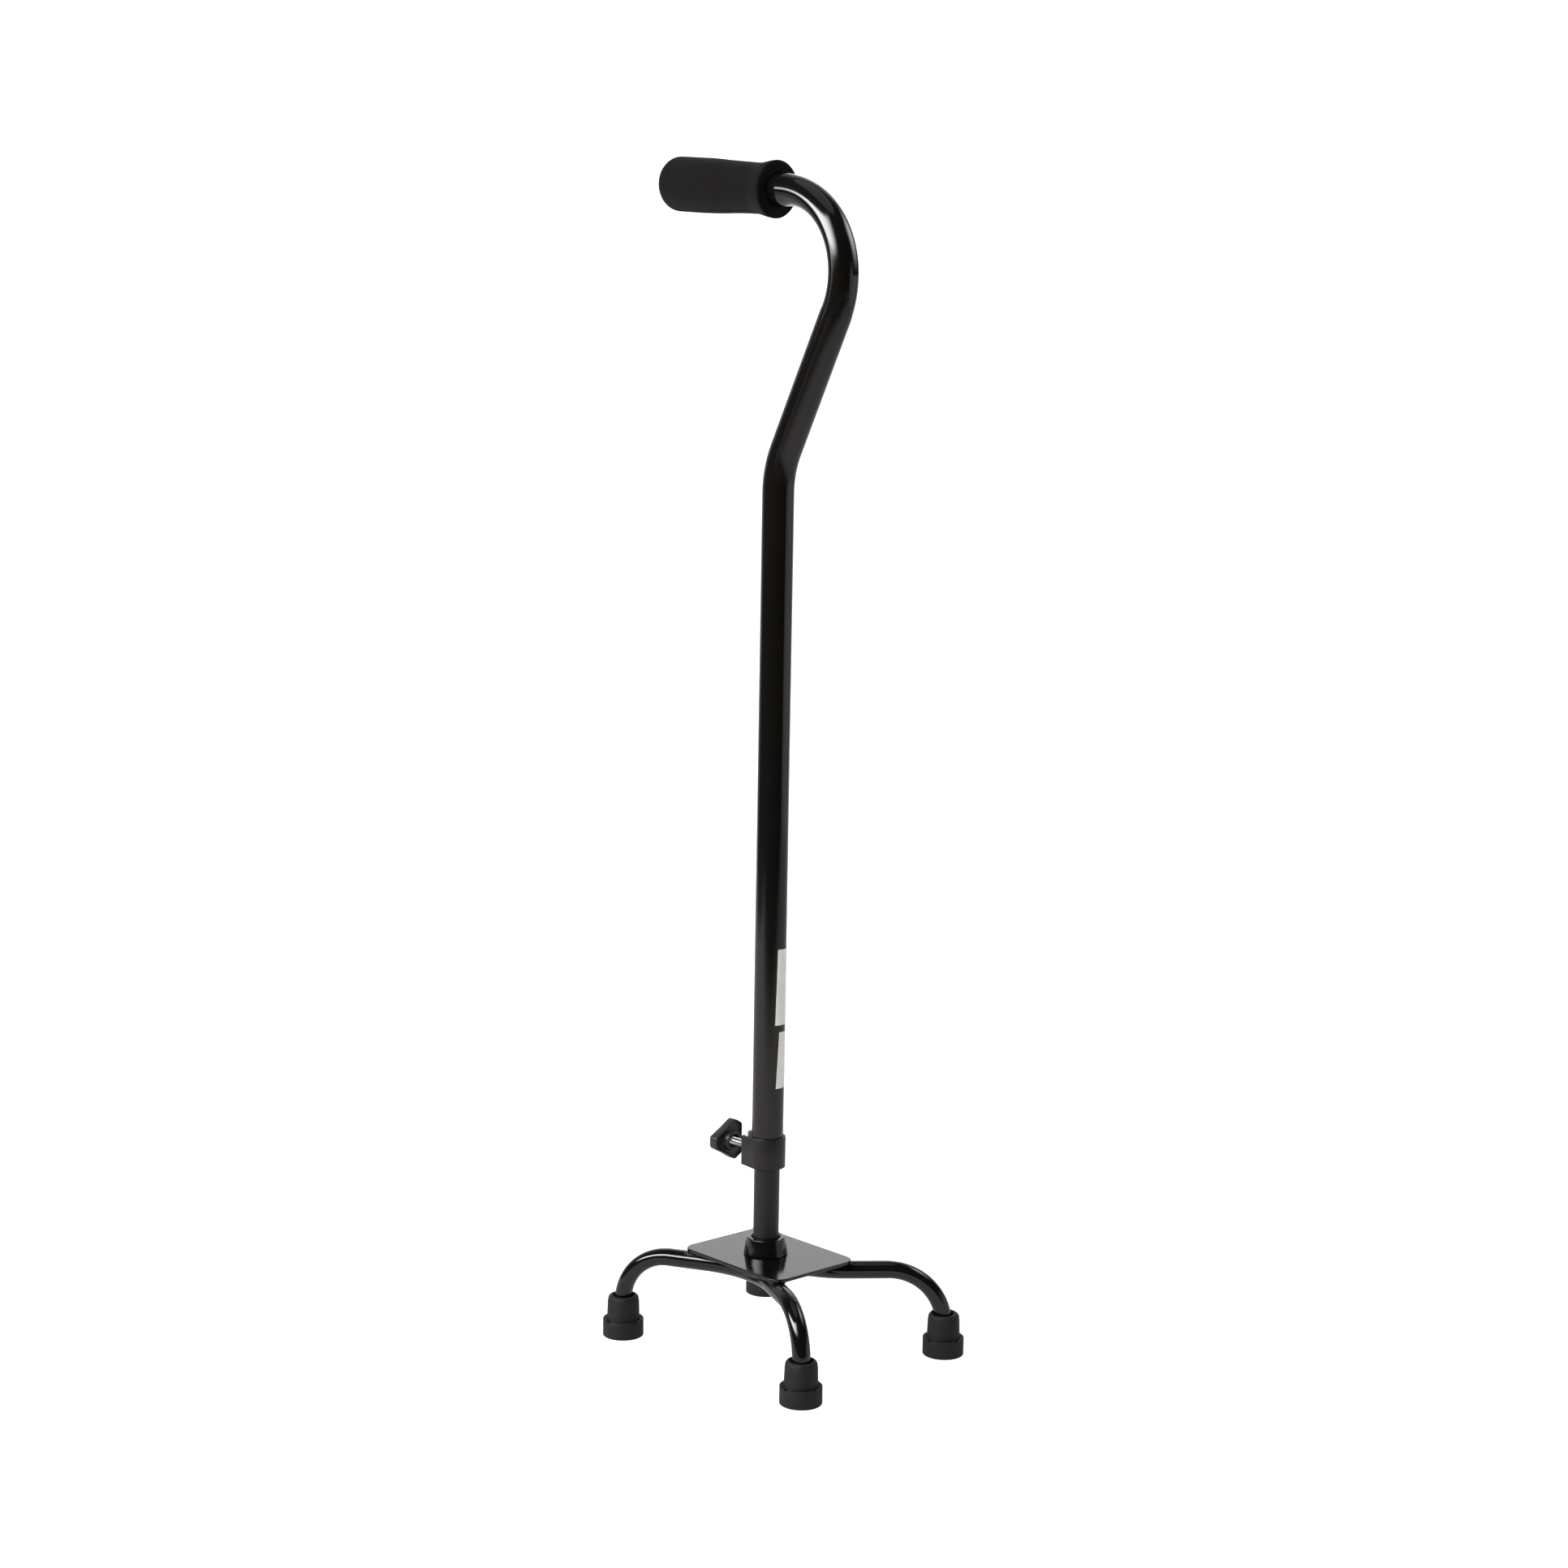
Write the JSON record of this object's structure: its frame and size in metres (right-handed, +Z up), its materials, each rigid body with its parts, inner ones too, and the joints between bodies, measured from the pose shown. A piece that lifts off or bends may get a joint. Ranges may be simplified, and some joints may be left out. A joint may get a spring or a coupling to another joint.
{
  "type": "quad walking cane",
  "caption": "Height-adjustable walking cane with a gooseneck handle, a foam grip, a clamp knob and a low four-footed base with rubber tips.",
  "frame": {"origin": "on the floor, under the middle of the cane's overall box; the shaft's axis stands at x 3.3 mm, y -17.9 mm", "axes": "+X forward, the way the gooseneck bulges; +Y to the left, the side on which the feet stand wider of the shaft; +Z up along the shaft"},
  "size_m": [0.2184, 0.1732, 0.8418],
  "materials": {
    "gloss_black_enamel": "gloss black baked enamel on steel tube and sheet",
    "satin_black_enamel": "satin black enamel",
    "black_rubber": "matt moulded rubber",
    "black_foam": "matt fine-celled foam",
    "black_plastic": "semi-matt moulded plastic",
    "white_nylon": "natural nylon",
    "zinc_steel": "bright zinc plate",
    "spring_steel": "spring steel strip",
    "brass": "turned brass"
  },
  "bodies": {
    "base": {"base_plate": "gloss_black_enamel", "base_hub": "gloss_black_enamel", "right_leg_tube": "gloss_black_enamel", "left_leg_tube": "gloss_black_enamel", "rubber_tip_rear_right": "black_rubber", "rubber_tip_front_right": "black_rubber", "rubber_tip_rear_left": "black_rubber", "rubber_tip_front_left": "black_rubber", "tip_washer_rear_right": "zinc_steel", "tip_washer_front_right": "zinc_steel", "tip_washer_rear_left": "zinc_steel", "tip_washer_front_left": "zinc_steel", "base_bolt": "zinc_steel", "flat_washer": "zinc_steel", "lock_washer": "zinc_steel", "shaft_plug": "zinc_steel", "lower_tube": "satin_black_enamel", "tube_glide": "white_nylon", "button_spring": "spring_steel"},
    "button": {"snap_button": "zinc_steel"},
    "upper": {"upper_tube": "gloss_black_enamel", "foam_grip": "black_foam", "handle_plug": "black_plastic", "clamp_collar": "satin_black_enamel", "collar_bushing": "white_nylon", "nut_plate": "zinc_steel"},
    "clamp_pad": {"pressure_pad": "brass"},
    "knob": {"clamp_knob": "black_plastic", "clamp_screw": "zinc_steel"}
  },
  "joints": [
    {"name": "height_slide", "type": "slide", "parent": "base", "child": "upper", "axis": [0, 0, 1], "range_m": [-0.0508, 0.1016]},
    {"name": "button_press", "type": "slide", "parent": "base", "child": "button", "axis": [1, 0, 0], "range_m": [0, 0.0034], "stiffness_N_per_m": 1500, "springref_m": -0.004, "deforming": ["button_spring"]},
    {"name": "screw_travel", "type": "slide", "parent": "upper", "child": "clamp_pad", "axis": [-1, 0, 0], "range_m": [0, 0.00175]},
    {"name": "knob_turn", "type": "hinge", "parent": "clamp_pad", "child": "knob", "pos_m": [-0.03, -0.0179, 0.1464], "axis": [-1, 0, 0], "range_deg": [0, 630]}
  ],
  "couplings": [
    {"joint": "knob_turn", "follows": "screw_travel", "rad_per_m": 6283.2}
  ]
}
